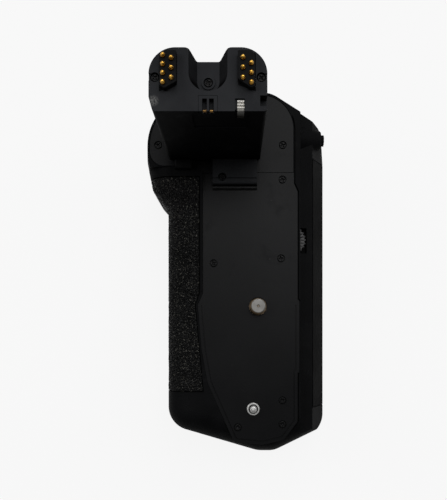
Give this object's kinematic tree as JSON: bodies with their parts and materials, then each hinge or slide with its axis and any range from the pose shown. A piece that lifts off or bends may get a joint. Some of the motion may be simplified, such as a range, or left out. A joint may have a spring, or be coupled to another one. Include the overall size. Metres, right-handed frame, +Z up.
{
  "type": "camera battery grip",
  "caption": "Vertical battery grip for a reflex camera: contact tower, captive attachment screw with thumbwheel gears, sliding battery magazine, rubber hand grip and shooting controls.",
  "frame": {"origin": "axis of the attachment screw on the mating face that meets the camera's base", "axes": "+Z up into the camera, +X along the body towards the contact tower, +Y towards the rubber hand grip at the front"},
  "size_m": [0.1496, 0.0745, 0.1096],
  "materials": {
    "body_plastic": "fine moulded texture",
    "grip_rubber": "pebbled grain",
    "plate_paint": "satin black",
    "tower_plastic": "matt, slightly worn",
    "block_plastic": "fine matt",
    "button_plastic": "semi-gloss",
    "gilt": "gold plated",
    "nickel": "nickel plated",
    "steel": "bright",
    "dark_screw": "blackened",
    "gear_brass": "machined",
    "gear_plastic": "natural acetal",
    "board": "solder mask",
    "chips": "moulded",
    "flex": "polyimide film",
    "soft_black": "foam"
  },
  "bodies": {
    "grip": {"housing": "body_plastic", "top_plate": "plate_paint", "tower_cover": "plate_paint", "front_grip": "grip_rubber", "tower_case": "tower_plastic", "tower_head": "tower_plastic", "left_pin_block": "block_plastic", "right_pin_block": "block_plastic", "contact_socket": "block_plastic", "socket_contacts": "gilt", "leaf_contact": "nickel", "tower_screws": "dark_screw", "tower_board": "board", "flex_cable": "flex", "door_holder": "block_plastic", "door_holder_spring": "dark_screw", "door_holder_pad": "soft_black", "tower_stop": "tower_plastic", "gear_axles": "steel", "gear_bracket": "steel", "locating_pin": "nickel", "plate_screws": "dark_screw", "cover_screws": "dark_screw", "main_board": "board", "board_parts": "chips", "bay_terminals": "gilt", "terminal_board": "board", "shutter_collar": "body_plastic", "dial_axle": "steel", "button_panel": "body_plastic", "tripod_socket": "nickel", "tripod_pad": "soft_black", "base_screws": "dark_screw", "strap_bar": "nickel"},
    "screw_drive": {"attachment_screw": "nickel", "screw_gear": "gear_brass"},
    "idler": {"idler_gear": "gear_plastic"},
    "wheel": {"thumbwheel": "button_plastic"},
    "left_pins": {"left_contact_pins": "gilt"},
    "right_pins": {"right_contact_pins": "gilt"},
    "magazine": {"magazine_tray": "tower_plastic", "magazine_cover": "body_plastic", "magazine_seal": "soft_black", "magazine_contacts": "gilt"},
    "knob": {"release_knob": "body_plastic", "latch_cam": "steel"},
    "far_lock": {"far_battery_lock": "gear_plastic"},
    "near_lock": {"near_battery_lock": "gear_plastic"},
    "shutter": {"shutter_button": "button_plastic"},
    "function_key": {"function_button": "button_plastic"},
    "dial": {"main_dial": "button_plastic"},
    "start_key": {"start_button": "button_plastic"},
    "hold_key": {"hold_button": "button_plastic"},
    "point_key": {"point_button": "button_plastic"},
    "switch": {"power_switch": "body_plastic"}
  },
  "joints": [
    {"name": "attachment_turn", "type": "hinge", "parent": "grip", "child": "screw_drive", "pos_m": [0, 0, 0], "axis": [0, 0, 1], "continuous": true},
    {"name": "idler_turn", "type": "hinge", "parent": "grip", "child": "idler", "pos_m": [0.01571, -0.00793, -0.0095], "axis": [0, 0, 1], "continuous": true},
    {"name": "thumbwheel_turn", "type": "hinge", "parent": "grip", "child": "wheel", "pos_m": [0.02713, -0.01371, -0.0045], "axis": [0, 0, 1], "continuous": true},
    {"name": "left_pins_press", "type": "slide", "parent": "grip", "child": "left_pins", "axis": [0, 0, -1], "range_m": [0, 0.001], "stiffness_N_per_m": 300},
    {"name": "right_pins_press", "type": "slide", "parent": "grip", "child": "right_pins", "axis": [0, 0, -1], "range_m": [0, 0.001], "stiffness_N_per_m": 300},
    {"name": "magazine_slide", "type": "slide", "parent": "grip", "child": "magazine", "axis": [0, -1, 0], "range_m": [0, 0.07]},
    {"name": "knob_turn", "type": "hinge", "parent": "magazine", "child": "knob", "pos_m": [0.0502, -0.0283, -0.0303], "axis": [0, -1, 0], "range_deg": [0, 90]},
    {"name": "far_lock_slide", "type": "slide", "parent": "magazine", "child": "far_lock", "axis": [0, -1, 0], "range_m": [0, 0.0014], "stiffness_N_per_m": 200},
    {"name": "near_lock_slide", "type": "slide", "parent": "magazine", "child": "near_lock", "axis": [0, -1, 0], "range_m": [0, 0.0014], "stiffness_N_per_m": 200},
    {"name": "shutter_press", "type": "slide", "parent": "grip", "child": "shutter", "axis": [-0.7431, -0.6691, 0], "range_m": [0, 0.001], "stiffness_N_per_m": 300},
    {"name": "function_press", "type": "slide", "parent": "grip", "child": "function_key", "axis": [-0.9703, -0.2419, 0], "range_m": [0, 0.0006], "stiffness_N_per_m": 300},
    {"name": "dial_turn", "type": "hinge", "parent": "grip", "child": "dial", "pos_m": [0.0806, 0.014, -0.024], "axis": [0, 1, 0], "continuous": true},
    {"name": "start_press", "type": "slide", "parent": "grip", "child": "start_key", "axis": [-0.8441, 0.5362, 0], "range_m": [0, 0.0006], "stiffness_N_per_m": 300},
    {"name": "hold_press", "type": "slide", "parent": "grip", "child": "hold_key", "axis": [-0.8441, 0.5362, 0], "range_m": [0, 0.0006], "stiffness_N_per_m": 300},
    {"name": "point_press", "type": "slide", "parent": "grip", "child": "point_key", "axis": [-0.8441, 0.5362, 0], "range_m": [0, 0.0006], "stiffness_N_per_m": 300},
    {"name": "switch_turn", "type": "hinge", "parent": "grip", "child": "switch", "pos_m": [0.0696, -0.0264, -0.008], "axis": [0, -1, 0], "range_deg": [0, 40]}
  ],
  "couplings": [
    {"joint": "idler_turn", "follows": "attachment_turn", "ratio": -1.2},
    {"joint": "thumbwheel_turn", "follows": "attachment_turn", "ratio": 2}
  ]
}
